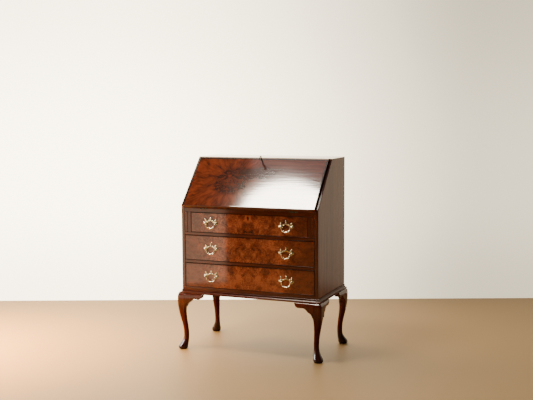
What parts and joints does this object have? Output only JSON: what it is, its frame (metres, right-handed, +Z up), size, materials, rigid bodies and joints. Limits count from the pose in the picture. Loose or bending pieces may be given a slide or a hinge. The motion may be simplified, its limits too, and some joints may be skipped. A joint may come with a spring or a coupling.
{
  "type": "writing bureau",
  "caption": "Slant front writing bureau with long drawers below a hinged fall, on a moulded stand with short cabriole legs; lopers, drop handles, fitted pigeonholes inside.",
  "frame": {"origin": "on the floor, under the middle of the whole footprint", "axes": "+Z up, front towards -Y, +X to the right as seen from the front"},
  "size_m": [0.8026, 0.4596, 1.0138],
  "materials": {
    "mahogany": "polished dark red mahogany",
    "side_veneer": "polished brown walnut, straight grain",
    "fall_veneer": "high gloss figured walnut veneer",
    "drawer_veneer": "high gloss burr walnut veneer",
    "carcass_wood": "unpolished softwood",
    "brass": "aged pale brass",
    "dark_steel": "dark worn steel"
  },
  "bodies": {
    "case": {"side_left": "side_veneer", "side_right": "side_veneer", "top_board": "side_veneer", "back_panel": "carcass_wood", "bottom_board": "mahogany", "dust_board_lower": "mahogany", "dust_board_upper": "mahogany", "writing_board": "mahogany", "loper_divider_left": "mahogany", "loper_divider_right": "mahogany", "base_moulding_front": "mahogany", "base_moulding_left": "mahogany", "base_moulding_right": "mahogany", "stand_back_rail": "carcass_wood", "leg_front_left": "mahogany", "leg_front_right": "mahogany", "leg_rear_left": "mahogany", "leg_rear_right": "mahogany", "bracket_front_left": "mahogany", "bracket_front_right": "mahogany", "bracket_side_front_left": "mahogany", "bracket_side_front_right": "mahogany", "bracket_side_rear_left": "mahogany", "bracket_side_rear_right": "mahogany", "hinge_left_fixed_leaf": "brass", "hinge_right_fixed_leaf": "brass", "pigeonhole_unit": "side_veneer"},
    "fall": {"fall_panel": "fall_veneer", "fall_lock": "brass", "hinge_left_fall_leaf": "brass", "hinge_right_fall_leaf": "brass"},
    "fall_bolt": {"fall_lock_bolt": "brass"},
    "key": {"key": "dark_steel"},
    "loper_left": {"loper_left": "mahogany"},
    "loper_right": {"loper_right": "mahogany"},
    "drawer_1": {"drawer_1_front": "drawer_veneer", "drawer_1_box": "carcass_wood", "drawer_lock": "brass", "handle_plate_1_left": "brass", "handle_plate_1_right": "brass"},
    "drawer_bolt": {"drawer_lock_bolt": "brass"},
    "drawer_2": {"drawer_2_front": "drawer_veneer", "drawer_2_box": "carcass_wood", "handle_plate_2_left": "brass", "handle_plate_2_right": "brass"},
    "drawer_3": {"drawer_3_front": "drawer_veneer", "drawer_3_box": "carcass_wood", "handle_plate_3_left": "brass", "handle_plate_3_right": "brass"},
    "bail_1_left": {"bail_1_left": "brass"},
    "bail_1_right": {"bail_1_right": "brass"},
    "bail_2_left": {"bail_2_left": "brass"},
    "bail_2_right": {"bail_2_right": "brass"},
    "bail_3_left": {"bail_3_left": "brass"},
    "bail_3_right": {"bail_3_right": "brass"},
    "small_drawer_left": {"small_drawer_left": "mahogany", "small_drawer_knob_left": "brass"},
    "small_drawer_right": {"small_drawer_right": "mahogany", "small_drawer_knob_right": "brass"}
  },
  "joints": [
    {"name": "fall_hinge", "type": "hinge", "parent": "case", "child": "fall", "pos_m": [0, -0.2035, 0.7465], "axis": [1, 0, 0], "range_deg": [0, 132.39]},
    {"name": "key_turn", "type": "hinge", "parent": "fall", "child": "key", "pos_m": [0.011, -0.01373, 0.96337], "axis": [0, -0.7385, 0.6743], "range_deg": [0, 180]},
    {"name": "fall_bolt_slide", "type": "slide", "parent": "fall", "child": "fall_bolt", "axis": [0, 0.6743, 0.7385], "range_m": [0, 0.014]},
    {"name": "loper_left_slide", "type": "slide", "parent": "case", "child": "loper_left", "axis": [0, -1, 0], "range_m": [0, 0.25]},
    {"name": "loper_right_slide", "type": "slide", "parent": "case", "child": "loper_right", "axis": [0, -1, 0], "range_m": [0, 0.25]},
    {"name": "drawer_1_slide", "type": "slide", "parent": "case", "child": "drawer_1", "axis": [0, -1, 0], "range_m": [0, 0.26]},
    {"name": "drawer_bolt_slide", "type": "slide", "parent": "drawer_1", "child": "drawer_bolt", "axis": [0, 0, -1], "range_m": [-0.006, 0]},
    {"name": "drawer_2_slide", "type": "slide", "parent": "case", "child": "drawer_2", "axis": [0, -1, 0], "range_m": [0, 0.26]},
    {"name": "drawer_3_slide", "type": "slide", "parent": "case", "child": "drawer_3", "axis": [0, -1, 0], "range_m": [0, 0.26]},
    {"name": "bail_1_left_hinge", "type": "hinge", "parent": "drawer_1", "child": "bail_1_left", "pos_m": [-0.207, -0.2124, 0.6719], "axis": [-1, 0, 0], "range_deg": [0, 90]},
    {"name": "bail_1_right_hinge", "type": "hinge", "parent": "drawer_1", "child": "bail_1_right", "pos_m": [0.207, -0.2124, 0.6719], "axis": [-1, 0, 0], "range_deg": [0, 90]},
    {"name": "bail_2_left_hinge", "type": "hinge", "parent": "drawer_2", "child": "bail_2_left", "pos_m": [-0.207, -0.2124, 0.53915], "axis": [-1, 0, 0], "range_deg": [0, 90]},
    {"name": "bail_2_right_hinge", "type": "hinge", "parent": "drawer_2", "child": "bail_2_right", "pos_m": [0.207, -0.2124, 0.53915], "axis": [-1, 0, 0], "range_deg": [0, 90]},
    {"name": "bail_3_left_hinge", "type": "hinge", "parent": "drawer_3", "child": "bail_3_left", "pos_m": [-0.207, -0.2124, 0.39565], "axis": [-1, 0, 0], "range_deg": [0, 90]},
    {"name": "bail_3_right_hinge", "type": "hinge", "parent": "drawer_3", "child": "bail_3_right", "pos_m": [0.207, -0.2124, 0.39565], "axis": [-1, 0, 0], "range_deg": [0, 90]},
    {"name": "small_drawer_left_slide", "type": "slide", "parent": "case", "child": "small_drawer_left", "axis": [0, -1, 0], "range_m": [0, 0.1]},
    {"name": "small_drawer_right_slide", "type": "slide", "parent": "case", "child": "small_drawer_right", "axis": [0, -1, 0], "range_m": [0, 0.1]}
  ],
  "couplings": [
    {"joint": "fall_bolt_slide", "follows": "key_turn", "m_per_rad": 0.004456}
  ]
}
